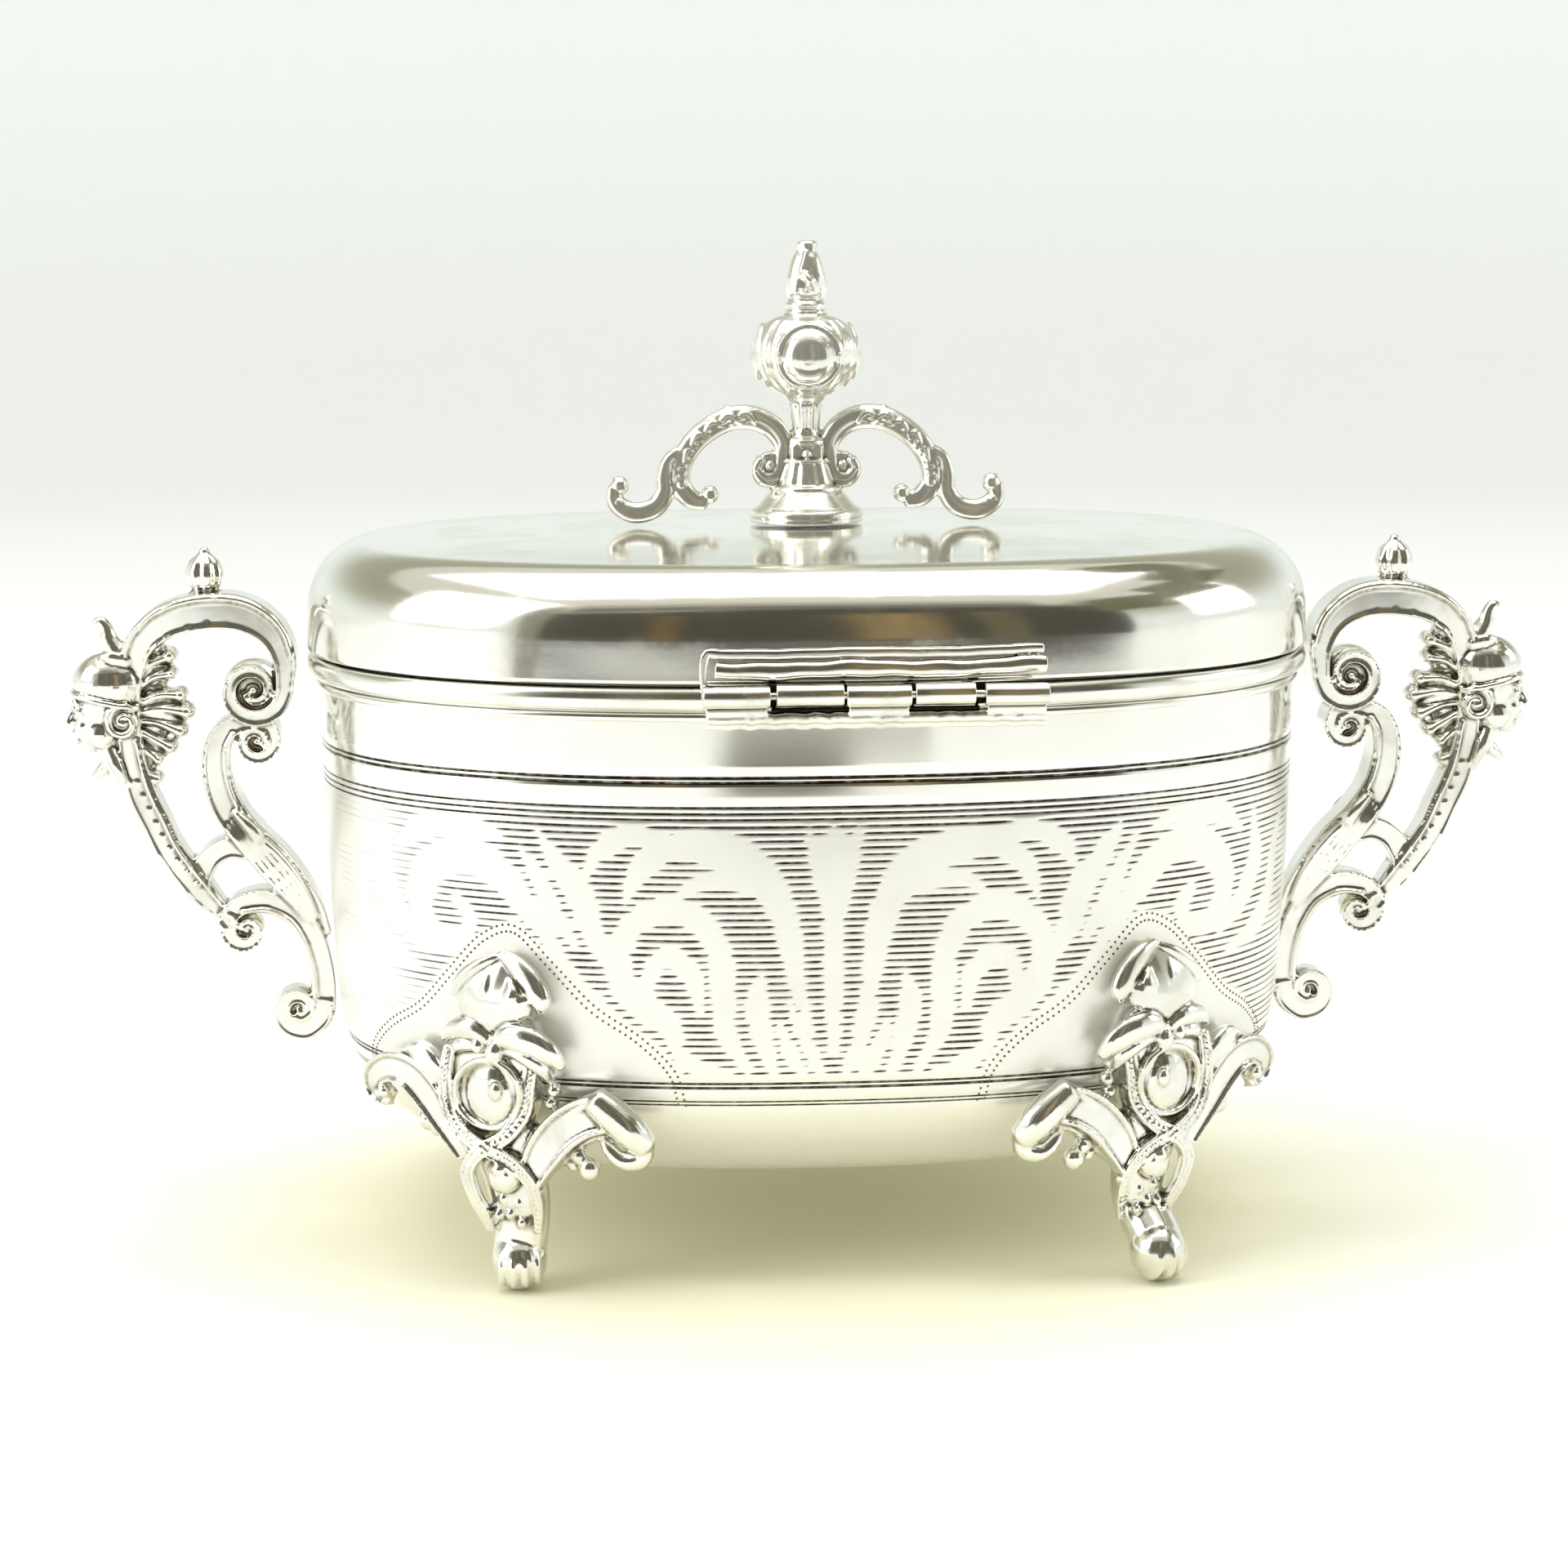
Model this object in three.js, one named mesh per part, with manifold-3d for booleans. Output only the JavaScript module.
// Oval trinket casket: drawn bowl, hinged domed lid, cast finial, cast handles and four cast feet.
// Millimetres, +Z up. The hinge is on the -Y side. Everything is drawn about the centre of the oval and then
// moved by OVAL_CENTRE_Y, so that the origin is on the floor under the middle of the whole casket.
import * as THREE from "three";
import { mergeVertices } from "three/addons/utils/BufferGeometryUtils.js";
import Module from "manifold-3d";

const wasm = await Module();
wasm.setup();

// Driving dimensions
const GAP = 0.3; // between touching pieces
const OVAL_POWER = 2.4; // squareness of the oval plan
const OVAL_NARROWER = 20; // the half-depth of a wall is its half-width less this
const WALL_MIN = 58; // half-width below which the oval shrinks in proportion
const OVAL_SEGMENTS = 48;
const OVAL_CENTRE_Y = 1.7; // half of what the hinge reaches past the rim

const RIM_HALF_WIDTH = 68;
const BOWL_HALF_WIDTH = 66.3;
const BOWL_WALL = 0.9;
const BOWL_BOTTOM = 13.2;
const BOWL_TOP = 81.6;
const BEAD_BOTTOM = 76.6;
const BEAD_TOP = 80;

const LID_BOTTOM = BEAD_TOP + GAP;
const LID_WALL = 0.8;
const LID_SHOULDER = 85.5; // where the straight side ends
const LID_FLAT = 94.4; // where the shoulder meets the nearly flat top
const LID_CENTRE = 95.9;
const LID_ROUND = 8.7; // horizontal reach of the shoulder

const HINGE_X = 5;
const HINGE_LENGTH = 43;
const PIN_Y = -49.85;
const PIN_Z = 79.1;
const PIN_RADIUS = 0.5;
const KNUCKLE_RADIUS = 1.45;
const KNUCKLE_BORE = 0.6;
// Each tube's body, place, start from the hinge's left end and length; the gaps are as uneven as hand work
const KNUCKLES = [
  ["body", "left", 0, 8.3],
  ["lid", "left", 9.05, 8.4],
  ["body", "middle", 17.75, 8.1],
  ["lid", "right", 26.3, 7.5],
  ["body", "right", 35, 8],
];
const BODY_LEAF_BOTTOM = 74.7;
const LID_LEAF_BOTTOM = 81;
const LID_LEAF_TOP = 84.7;
const LEAF_THICK = 1.1;

const FINIAL_BASE = LID_CENTRE + GAP;
const STUD_RADIUS = 1.5;
const ARM_DEPTH = 1.5; // half the thickness of a finial arm

const HANDLE_DEPTH = 3.4; // half the thickness of a handle
const PAW_X = 40.4;
const PAW_Y = 40.2;
const HINGE_LEFT_PAW_Y = 37.4; // this leg bends in under the bowl a little
const PAW_RADII = [3.9, 4.6, 3.6];
const PAW_RISE = 2.9; // height of the paw's centre; the floor cuts its underside flat
const HINGE_RIGHT_SPLAY = 2.2; // how far this one paw is turned outward

// Materials
const silver = (tone, roughness) =>
  new THREE.MeshStandardMaterial({ color: tone, metalness: 1, roughness });
const POLISHED = silver(0xe9e6da, 0.18);
const CAST = silver(0xddd9ca, 0.3);
const SOLDERED = silver(0xc9c4b4, 0.38);
const STEEL = silver(0xb6b2a6, 0.35);

const point = (x, y, z) => new THREE.Vector3(x, y, z);
const root = new THREE.Group();

function add(name, geometry, material) {
  const mesh = new THREE.Mesh(geometry.translate(0, OVAL_CENTRE_Y, 0), material);
  mesh.name = name;
  root.add(mesh);
}

// Solids: three.js geometry to a manifold and back
function solid(geometry) {
  const plain = geometry.clone();
  plain.deleteAttribute("normal");
  plain.deleteAttribute("uv");
  const merged = mergeVertices(plain, 1e-4);
  return new wasm.Manifold(
    new wasm.Mesh({
      numProp: 3,
      vertProperties: new Float32Array(merged.getAttribute("position").array),
      triVerts: new Uint32Array(merged.index.array),
    }),
  );
}

function geometryOf(manifold) {
  const mesh = manifold.getMesh();
  const geometry = new THREE.BufferGeometry();
  geometry.setAttribute("position", new THREE.BufferAttribute(mesh.vertProperties, 3));
  geometry.setIndex(new THREE.BufferAttribute(mesh.triVerts, 1));
  geometry.computeVertexNormals();
  return geometry;
}

function joined(geometries, cutters = []) {
  const whole = geometries.map(solid).reduce((a, b) => a.add(b));
  return geometryOf(cutters.map(solid).reduce((a, b) => a.subtract(b), whole));
}

// The oval plan
const halfDepth = (halfWidth) =>
  halfWidth >= WALL_MIN
    ? halfWidth - OVAL_NARROWER
    : (halfWidth * (WALL_MIN - OVAL_NARROWER)) / WALL_MIN;

const wallY = (x, halfWidth) =>
  halfDepth(halfWidth) *
  (1 - Math.abs(x / halfWidth) ** OVAL_POWER) ** (1 / OVAL_POWER);

// A lathe turned about Z
function lathe(profile, segments = 24) {
  const points = profile.map(([radius, z]) => new THREE.Vector2(radius, z));
  return new THREE.LatheGeometry(points, segments).rotateX(Math.PI / 2);
}

// A lathe whose circles are stretched to the oval plan: the profile's radius is the half-width
function ovalLathe(profile) {
  const geometry = lathe(profile, OVAL_SEGMENTS);
  const position = geometry.getAttribute("position");
  const stretch = (cosine) => Math.sign(cosine) * Math.abs(cosine) ** (2 / OVAL_POWER);
  for (let i = 0; i < position.count; i++) {
    const halfWidth = Math.hypot(position.getX(i), position.getY(i));
    const angle = Math.atan2(position.getY(i), position.getX(i));
    position.setX(i, halfWidth * stretch(Math.cos(angle)));
    position.setY(i, halfDepth(halfWidth) * stretch(Math.sin(angle)));
  }
  return geometry;
}

// A closed ring of the oval plan with a rounded section
function ovalRing(centre, z, halfThick, halfTall) {
  const section = [];
  const corners = 6;
  for (let i = 0; i <= corners; i++) {
    const turn = (i / corners) * 2 * Math.PI;
    section.push([centre + halfThick * Math.cos(turn), z + halfTall * Math.sin(turn)]);
  }
  return ovalLathe(section);
}

// A cast bar along a curve: oval section, its widths given at each control point.
// depthAxis is the direction in which halfDepths are measured.
function castBar(points, halfWidths, halfDepths, depthAxis, rows, sides = 8) {
  const curve = new THREE.CatmullRomCurve3(points, false, "centripetal");
  const geometry = new THREE.CylinderGeometry(1, 1, 1, sides, rows);
  const position = geometry.getAttribute("position");
  const at = (values, t) => {
    const place = t * (values.length - 1);
    const low = Math.min(Math.floor(place), values.length - 2);
    return values[low] + (values[low + 1] - values[low]) * (place - low);
  };
  for (let i = 0; i < position.count; i++) {
    const t = THREE.MathUtils.clamp(position.getY(i) + 0.5, 0, 1);
    const along = curve.getTangent(t);
    const across = along.clone().cross(depthAxis).normalize();
    const deep = across.clone().cross(along);
    const place = curve
      .getPoint(t)
      .addScaledVector(across, position.getX(i) * at(halfWidths, t))
      .addScaledVector(deep, position.getZ(i) * at(halfDepths, t));
    position.setXYZ(i, place.x, place.y, place.z);
  }
  return geometry;
}

// A round boss with eased edges whose axis is along Y
function boss(x, y, z, radius, halfThick, segments = 14) {
  const profile = [
    [0, -halfThick],
    [0.75 * radius, -halfThick],
    [radius, -0.6 * halfThick],
    [radius, 0.6 * halfThick],
    [0.75 * radius, halfThick],
    [0, halfThick],
  ];
  return lathe(profile, segments).rotateX(-Math.PI / 2).translate(x, y, z);
}

function ellipsoid(centre, radii, sides = 8, rows = 6) {
  return new THREE.SphereGeometry(1, sides, rows)
    .rotateX(Math.PI / 2)
    .scale(radii.x, radii.y, radii.z)
    .translate(centre.x, centre.y, centre.z);
}

const Y_AXIS = point(0, 1, 0);
const X_AXIS = point(1, 0, 0);

// Bowl: one drawn wall with a rounded lower edge and a flat bottom
function bowl() {
  const outside = [
    [0, BOWL_BOTTOM],
    [44, BOWL_BOTTOM],
    [50, BOWL_BOTTOM + 0.8],
    [56, 16.8],
    [60.2, 20.5],
    [62.8, 24.5],
    [64.4, 29],
    [65.3, 38],
    [BOWL_HALF_WIDTH, 66],
    [BOWL_HALF_WIDTH, BOWL_TOP],
  ];
  const inside = [
    [BOWL_HALF_WIDTH - BOWL_WALL, BOWL_TOP],
    [BOWL_HALF_WIDTH - BOWL_WALL, 66],
    [64.4, 38],
    [63.4, 29.3],
    [61.7, 25],
    [59.1, 21.3],
    [55, 17.8],
    [49.6, 14.9],
    [44, BOWL_BOTTOM + BOWL_WALL],
    [0, BOWL_BOTTOM + BOWL_WALL],
  ];
  return ovalLathe([...outside, ...inside]);
}

function rimBead() {
  const inner = BOWL_HALF_WIDTH + GAP;
  return ovalRing(
    (RIM_HALF_WIDTH + inner) / 2,
    (BEAD_TOP + BEAD_BOTTOM) / 2,
    (RIM_HALF_WIDTH - inner) / 2,
    (BEAD_TOP - BEAD_BOTTOM) / 2,
  );
}

// Lid: straight side, quarter-round shoulder, nearly flat top, one hole for the finial's stud
function lid() {
  const skin = (inset) => {
    const shoulder = [];
    const steps = 5;
    for (let i = 0; i <= steps; i++) {
      const turn = (i / steps) * (Math.PI / 2);
      shoulder.push([
        RIM_HALF_WIDTH - LID_ROUND + (LID_ROUND - inset) * Math.cos(turn),
        LID_SHOULDER + (LID_FLAT - LID_SHOULDER - inset) * Math.sin(turn),
      ]);
    }
    return [[RIM_HALF_WIDTH - inset, LID_BOTTOM], ...shoulder, [0, LID_CENTRE - inset]];
  };
  const shell = ovalLathe([...skin(LID_WALL).reverse(), ...skin(0)]);
  const hole = new THREE.CylinderGeometry(STUD_RADIUS + GAP, STUD_RADIUS + GAP, 6, 20)
    .rotateX(Math.PI / 2)
    .translate(0, 0, LID_CENTRE);
  return joined([shell], [hole]);
}

// A hinge leaf: a strip whose inner side follows the oval wall and whose outer side may be straight
function hingeLeaf(bottom, top, innerHalfWidth, outerY) {
  const outline = new THREE.Shape();
  const steps = 8;
  const start = HINGE_X - HINGE_LENGTH / 2;
  const xAt = (i) => start + (HINGE_LENGTH * i) / steps;
  outline.moveTo(xAt(0), -wallY(xAt(0), innerHalfWidth));
  for (let i = 1; i <= steps; i++) outline.lineTo(xAt(i), -wallY(xAt(i), innerHalfWidth));
  for (let i = steps; i >= 0; i--) outline.lineTo(xAt(i), outerY(xAt(i)));
  return new THREE.ExtrudeGeometry(outline, {
    depth: top - bottom,
    bevelEnabled: false,
  }).translate(0, 0, bottom);
}

function knuckle(startX, length) {
  const profile = [
    [KNUCKLE_BORE, 0],
    [KNUCKLE_RADIUS, 0],
    [KNUCKLE_RADIUS, length],
    [KNUCKLE_BORE, length],
    [KNUCKLE_BORE, 0],
  ];
  return lathe(profile, 16).rotateY(Math.PI / 2).translate(startX, PIN_Y, PIN_Z);
}

function addHinge() {
  const wall = BOWL_HALF_WIDTH + GAP;
  const bodyLeafOuter = () => PIN_Y + 0.2;
  add(
    "hinge_body_leaf",
    hingeLeaf(BODY_LEAF_BOTTOM, BEAD_BOTTOM - GAP, wall, bodyLeafOuter),
    SOLDERED,
  );
  const lidWall = RIM_HALF_WIDTH + GAP;
  const lidLeafOuter = (x) => -wallY(x, lidWall) - LEAF_THICK;
  add(
    "hinge_lid_leaf",
    hingeLeaf(LID_LEAF_BOTTOM, LID_LEAF_TOP, lidWall, lidLeafOuter),
    SOLDERED,
  );
  const leftEnd = HINGE_X - HINGE_LENGTH / 2;
  for (const [owner, place, start, length] of KNUCKLES)
    add(`hinge_${owner}_knuckle_${place}`, knuckle(leftEnd + start, length), SOLDERED);
  const pin = new THREE.CylinderGeometry(PIN_RADIUS, PIN_RADIUS, HINGE_LENGTH + 0.4, 12)
    .rotateZ(Math.PI / 2)
    .translate(HINGE_X, PIN_Y, PIN_Z);
  add("hinge_pin", pin, STEEL);
}

// Finial: turned foot, stem with a square block, ball with round medallions, ring neck and bud
function finialFoot() {
  const z = FINIAL_BASE;
  return lathe([
    [0, z],
    [7.85, z],
    [7.85, z + 1.6],
    [6.6, z + 2.9],
    [4.8, z + 4.7],
    [4.1, z + 5.4],
    [2.9, z + 6.4],
    [2.2, z + 7.8],
    [0, z + 7.8],
  ]);
}

const STEM_BOTTOM = FINIAL_BASE + 7.8 + GAP;
const STEM_TOP = 112.3;
function finialStem() {
  const stem = lathe(
    [
      [0, STEM_BOTTOM + 1],
      [2, STEM_BOTTOM + 1],
      [2.4, 106.3],
      [2.4, 106.9],
      [1.9, 107.6],
      [2, 110.6],
      [2.6, 111.4],
      [2.2, STEM_TOP],
      [0, STEM_TOP],
    ],
    16,
  );
  const block = new THREE.BoxGeometry(4.2, 4.2, 2).translate(0, 0, STEM_BOTTOM + 1);
  return joined([stem, block]);
}

const BALL_Z = 118.5;
const BALL_RADIUS = 7.9;
const BALL_HALF_TALL = 5.7;
function finialBall() {
  const ball = ellipsoid(
    point(0, 0, BALL_Z),
    point(BALL_RADIUS, BALL_RADIUS, BALL_HALF_TALL),
    16,
    8,
  );
  const medallions = [0, 1, 2, 3].map((quarter) =>
    boss(0, BALL_RADIUS - 0.9, 0, 4.4, 0.9, 12)
      .rotateZ((quarter * Math.PI) / 2)
      .translate(0, 0, BALL_Z),
  );
  return joined([ball, ...medallions]);
}

function finialTip() {
  const z = BALL_Z + BALL_HALF_TALL + GAP;
  return lathe(
    [
      [0, z],
      [2.9, z],
      [3.1, z + 0.5],
      [2.7, z + 1],
      [3, z + 1.5],
      [2.3, z + 2.2],
      [3.05, z + 3.4],
      [2.8, z + 5],
      [1.9, z + 7.2],
      [1.6, z + 8.7],
      [1, z + 9.5],
      [0, z + 9.7],
    ],
    16,
  );
}

// One openwork arm of the finial: a rising scroll that curls back, and a lower scroll hooked to it
function finialArm(side) {
  const flat = (pairs) => pairs.map(([x, z]) => point(side * x, 0, z));
  const rise = castBar(
    flat([
      [4.9, 103.2],
      [3.6, 106.2],
      [5, 109],
      [8.6, 110.3],
      [12.6, 109.2],
      [15.8, 106.2],
      [17.1, 102.6],
      [15.9, 99.7],
      [13.4, 98.9],
    ]),
    [1, 0.8, 0.85, 0.85, 0.85, 0.9, 1.1, 1, 0.7],
    [ARM_DEPTH, 1.3, 1.3, 1.3, 1.3, ARM_DEPTH, ARM_DEPTH, 1.3, 1.1],
    Y_AXIS,
    12,
    5,
  );
  const curl = castBar(
    flat([
      [15.4, 106.1],
      [18.6, 104.2],
      [19, 101],
      [20.6, 98.3],
      [23.6, 97.4],
      [26, 99],
      [26.2, 101.4],
    ]),
    [0.6, 0.9, 1, 1.05, 1.05, 1, 0.6],
    [1.1, 1.4, ARM_DEPTH, ARM_DEPTH, ARM_DEPTH, 1.4, 1],
    Y_AXIS,
    10,
    5,
  );
  const ends = [
    boss(side * 5.1, 0, 103.7, 1.9, 1.7, 10),
    boss(side * 13.2, 0, 99.7, 1.3, 1.5, 8),
    boss(side * 25, 0, 100.9, 1.2, 1.4, 8),
  ];
  const cutter = lathe(
    [
      [0, STEM_BOTTOM - 1],
      [3.2, STEM_BOTTOM - 1],
      [3.2, STEM_TOP],
      [0, STEM_TOP],
    ],
    16,
  );
  return joined([rise, curl, ...ends], [cutter]);
}

function hexNut(radius, bottom, height) {
  const outline = new THREE.Shape();
  const flats = 6;
  for (let i = 0; i < flats; i++) {
    const turn = (i / flats) * 2 * Math.PI;
    const corner = [radius * Math.cos(turn), radius * Math.sin(turn)];
    if (i === 0) outline.moveTo(...corner);
    else outline.lineTo(...corner);
  }
  outline.holes.push(new THREE.Path().absarc(0, 0, STUD_RADIUS + 0.1, 0, 2 * Math.PI, true));
  return new THREE.ExtrudeGeometry(outline, {
    depth: height,
    bevelEnabled: false,
    curveSegments: 8,
  }).translate(0, 0, bottom);
}

function addFinial() {
  const underside = LID_CENTRE - LID_WALL;
  const washerThick = 0.6;
  const nutHeight = 2.2;
  add("finial_foot", finialFoot(), CAST);
  add("finial_stem", finialStem(), CAST);
  add("finial_arm_left", finialArm(-1), CAST);
  add("finial_arm_right", finialArm(1), CAST);
  add("finial_ball", finialBall(), CAST);
  add("finial_tip", finialTip(), CAST);
  const stud = new THREE.CylinderGeometry(STUD_RADIUS, STUD_RADIUS, 6.5, 16)
    .rotateX(Math.PI / 2)
    .translate(0, 0, FINIAL_BASE - GAP - 3.25);
  add("finial_stud", stud, STEEL);
  const washerBottom = underside - GAP - washerThick;
  const washer = lathe(
    [
      [STUD_RADIUS + GAP, washerBottom],
      [4, washerBottom],
      [4, washerBottom + washerThick],
      [STUD_RADIUS + GAP, washerBottom + washerThick],
      [STUD_RADIUS + GAP, washerBottom],
    ],
    16,
  );
  add("finial_washer", washer, STEEL);
  add("finial_nut", hexNut(3, washerBottom - GAP - nutHeight, nutHeight), STEEL);
}

// Handles: each a cast bracket in the XZ plane, made from an arched band, scrollwork, a mask and leaves
const ARCH_POINTS = [
  [71.6, 75.2],
  [71.6, 79],
  [74, 82.9],
  [78, 84.8],
  [82.8, 84.6],
  [87.6, 82.9],
  [90.8, 80.2],
  [92, 76.5],
  [92.3, 72],
  [92.1, 66],
  [91.2, 60.5],
  [89, 55.4],
  [86.4, 50.6],
  [83.2, 46.3],
  [80.6, 43.5],
];
const ARCH_WIDTHS = [1.2, 1.7, 2.1, 2.3, 2.4, 2.2, 2, 1.8, 1.6, 1.6, 1.6, 1.6, 1.6, 1.5, 1.1];
const ARCH_DEPTHS = [2.6, 3, 3.4, 3.4, 3.4, 3.4, 3, 2.6, 2.4, 2.4, 2.4, 2.4, 2.2, 2, 1.6];

function archBar(side, extra = 0) {
  return castBar(
    ARCH_POINTS.map(([x, z]) => point(side * x, 0, z)),
    ARCH_WIDTHS.map((w) => w + extra),
    ARCH_DEPTHS.map((d) => d + extra),
    Y_AXIS,
    20,
    6,
  );
}

function archVolute(side, extra = 0) {
  return boss(side * 75.4, 0, 73.8, 4.7 + extra, HANDLE_DEPTH + extra, 12);
}

function handleArch(side) {
  return joined([archBar(side), archVolute(side)]);
}

// The arch grown by the gap, to cut the pieces that lie against it
function archClearance(side) {
  return [archBar(side, GAP), archVolute(side, GAP)];
}

function handleScroll(side) {
  const flat = (pairs) => pairs.map(([x, z]) => point(side * x, 0, z));
  const spine = castBar(
    flat([
      [76, 67.4],
      [79, 66.6],
      [80, 63],
      [78.8, 57.8],
      [76, 53.6],
      [72.4, 49.8],
      [69.4, 45.6],
      [67.8, 41.6],
    ]),
    [1.2, 1.7, 2, 2.2, 2.2, 2.1, 1.8, 1.6],
    [2.2, 2.8, 3, 3, 2.8, 2.6, 2.4, 2.2],
    Y_AXIS,
    12,
    6,
  );
  const branch = castBar(
    flat([
      [76.6, 53],
      [79.6, 51.6],
      [82.2, 49.4],
    ]),
    [1.3, 1.2, 1],
    [2, 1.8, 1.6],
    Y_AXIS,
    4,
    6,
  );
  const lower = castBar(
    flat([
      [77.8, 43.6],
      [74.2, 44.4],
      [70.4, 42.2],
      [68.2, 38.6],
      [67.2, 34.6],
      [67.4, 31],
    ]),
    [1.2, 1.5, 1.6, 1.6, 1.5, 1.4],
    [2.2, 2.4, 2.4, 2.4, 2.4, 2.2],
    Y_AXIS,
    8,
    6,
  );
  const volutes = [
    boss(side * 74.2, 0, 66.6, 2.8, 3, 8),
    boss(side * 77, 0, 40.8, 3, 2.8, 8),
    boss(side * 69.6, 0, 29.2, 4, 3, 10),
  ];
  return joined([spine, branch, lower, ...volutes], archClearance(side));
}

function handleMask(side) {
  const skull = ellipsoid(point(side * 95.6, 0, 74), point(4.6, 3.6, 6.2), 10, 8);
  const face = ellipsoid(point(side * 97.6, 0, 70.8), point(3.3, 2.8, 4.9), 10, 8);
  const nose = ellipsoid(point(side * 100.2, 0, 71), point(1.2, 0.8, 1.7));
  const crest = ellipsoid(point(side * 94.8, 0, 80.4), point(1.9, 1.5, 2.7));
  const collar = ellipsoid(point(side * 95, 0, 64.6), point(2.5, 2.7, 3.6));
  return joined([skull, face, nose, crest, collar], archClearance(side));
}

function handleLeaf(side) {
  const lobes = [
    ellipsoid(point(side * 88.6, 0, 76), point(3.1, 1.9, 2)),
    ellipsoid(point(side * 87.8, 0, 72.6), point(3.6, 2, 2.2)),
    ellipsoid(point(side * 87.6, 0, 69), point(3.4, 2, 2.4)),
    ellipsoid(point(side * 88.6, 0, 65), point(2.4, 1.9, 2.4)),
    ellipsoid(point(side * 88.6, 0, 61.6), point(1.8, 1.7, 2)),
  ];
  return joined(lobes, archClearance(side));
}

function handleBud(side) {
  return lathe(
    [
      [0, 87.6],
      [1.9, 87.6],
      [2.6, 88.8],
      [2.7, 90.2],
      [2, 91.8],
      [1, 93],
      [0, 93.4],
    ],
    12,
  ).translate(side * 81.9, 0, 0);
}

function addHandle(name, side) {
  add(name + "_arch", handleArch(side), CAST);
  add(name + "_scroll", handleScroll(side), CAST);
  add(name + "_mask", handleMask(side), CAST);
  add(name + "_leaf", handleLeaf(side), CAST);
  add(name + "_bud", handleBud(side), CAST);
}

// Feet: one casting each, a cabriole leg with a paw, a leaf and two scrolls soldered against the bowl.
// splay turns the paw outward, and pawY is its distance from the long axis.
function foot(side, front, splay = 0, pawY = PAW_Y) {
  const at = (x, y, z) => point(side * x, front * y, z);
  const outward = at(-0.42, -0.9, 0.1).normalize();
  const pawX = PAW_X + splay;
  const leg = castBar(
    [
      at(44, 41.8, 31),
      at(44.2, 43.2, 26),
      at(42.6, 42.6, 20),
      at(41 + 0.3 * splay, 41, 14),
      at(40.2 + 0.6 * splay, 0.5 * (39.8 + pawY), 9),
      at(pawX, pawY, 3),
    ],
    [1.6, 2.6, 2.6, 2.1, 2, 2.4],
    [2.6, 4.2, 4.8, 4.2, 3.7, 3.7],
    X_AXIS,
    9,
    8,
  );
  const paw = ellipsoid(at(pawX, pawY, PAW_RISE), point(...PAW_RADII), 10, 6);
  const outer = castBar(
    [
      at(43, 42.6, 19),
      at(49, 39.4, 25),
      at(52.8, 36.6, 29.4),
      at(56, 33.4, 29),
      at(57.8, 29.6, 26),
    ],
    [1.6, 2.2, 2, 1.8, 1.3],
    [1.4, 1.7, 1.7, 1.6, 1.4],
    outward,
    8,
    6,
  );
  const inner = castBar(
    [
      at(41.6, 42.4, 15),
      at(35.6, 43.6, 20.6),
      at(31.4, 44.8, 24.6),
      at(27, 45.4, 24),
      at(25, 45.2, 20.6),
    ],
    [1.6, 2, 2, 2, 1.6],
    [1.4, 1.7, 1.7, 1.6, 1.4],
    Y_AXIS,
    8,
    6,
  );
  const leaf = castBar(
    [
      at(43.4, 42.4, 24),
      at(42.6, 41.6, 31),
      at(42.4, 40.4, 37),
      at(42.2, 39.8, 41.6),
      at(42.1, 39.6, 44.2),
    ],
    [5, 6.6, 5.6, 4.6, 0.8],
    [1.6, 1.5, 1.4, 1.2, 0.5],
    outward,
    8,
    6,
  );
  const floor = new THREE.BoxGeometry(20, 20, 4).translate(side * pawX, front * pawY, -2);
  return joined([leg, paw, outer, inner, leaf], [bowlClearance(), floor]);
}

// The bowl's outside with a gap round it, to cut pieces that lie against it
function bowlClearance() {
  return ovalLathe([
    [0, BOWL_BOTTOM - GAP],
    [44.4, BOWL_BOTTOM - GAP],
    [50.4, BOWL_BOTTOM + 0.4],
    [56.5, 16.5],
    [60.7, 20.4],
    [63.2, 24.4],
    [64.8, 29],
    [65.7, 38],
    [66, 52],
    [0, 52],
  ]);
}

add("bowl", bowl(), POLISHED);
add("rim_bead", rimBead(), POLISHED);
add("lid", lid(), POLISHED);
addHinge();
addFinial();
addHandle("handle_left", -1);
addHandle("handle_right", 1);
add("foot_hinge_left", foot(-1, -1, 0, HINGE_LEFT_PAW_Y), CAST);
add("foot_hinge_right", foot(1, -1, HINGE_RIGHT_SPLAY), CAST);
add("foot_front_left", foot(-1, 1), CAST);
add("foot_front_right", foot(1, 1), CAST);

export default root;
